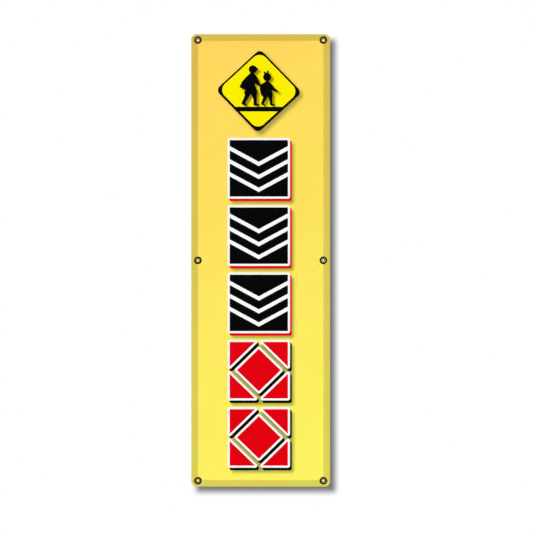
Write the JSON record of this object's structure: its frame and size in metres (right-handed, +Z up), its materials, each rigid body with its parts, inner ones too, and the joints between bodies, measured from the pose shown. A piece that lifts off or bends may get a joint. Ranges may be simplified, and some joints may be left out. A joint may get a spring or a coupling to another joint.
{
  "type": "pole banner",
  "caption": "Tall hemmed tarpaulin banner with metal eyelets down both sides, a lozenge warning sign and bold printed tiles, tied flat to a pole or fence.",
  "frame": {"origin": "middle of the printed face, which is the middle of the four corner eyelets", "axes": "+Z up along the banner, +X to the right as the print is read, -Y out of the printed face"},
  "size_m": [0.46, 0.004, 1.5],
  "materials": {
    "tarpaulin": "satin coated cloth, warm yellow",
    "eyelet_metal": "darkened brass",
    "washer_metal": "plain brass",
    "white_ink": "satin ink",
    "red_ink": "satin ink",
    "black_ink": "satin ink",
    "yellow_ink": "satin ink"
  },
  "bodies": {
    "root": {"banner_sheet": "tarpaulin", "eyelet_top_left": "eyelet_metal", "eyelet_top_right": "eyelet_metal", "eyelet_middle_left": "eyelet_metal", "eyelet_middle_right": "eyelet_metal", "eyelet_bottom_left": "eyelet_metal", "eyelet_bottom_right": "eyelet_metal", "washer_top_left": "washer_metal", "washer_top_right": "washer_metal", "washer_middle_left": "washer_metal", "washer_middle_right": "washer_metal", "washer_bottom_left": "washer_metal", "washer_bottom_right": "washer_metal", "print_white": "white_ink", "print_red": "red_ink", "print_black": "black_ink", "print_sign_yellow": "yellow_ink"}
  },
  "joints": []
}
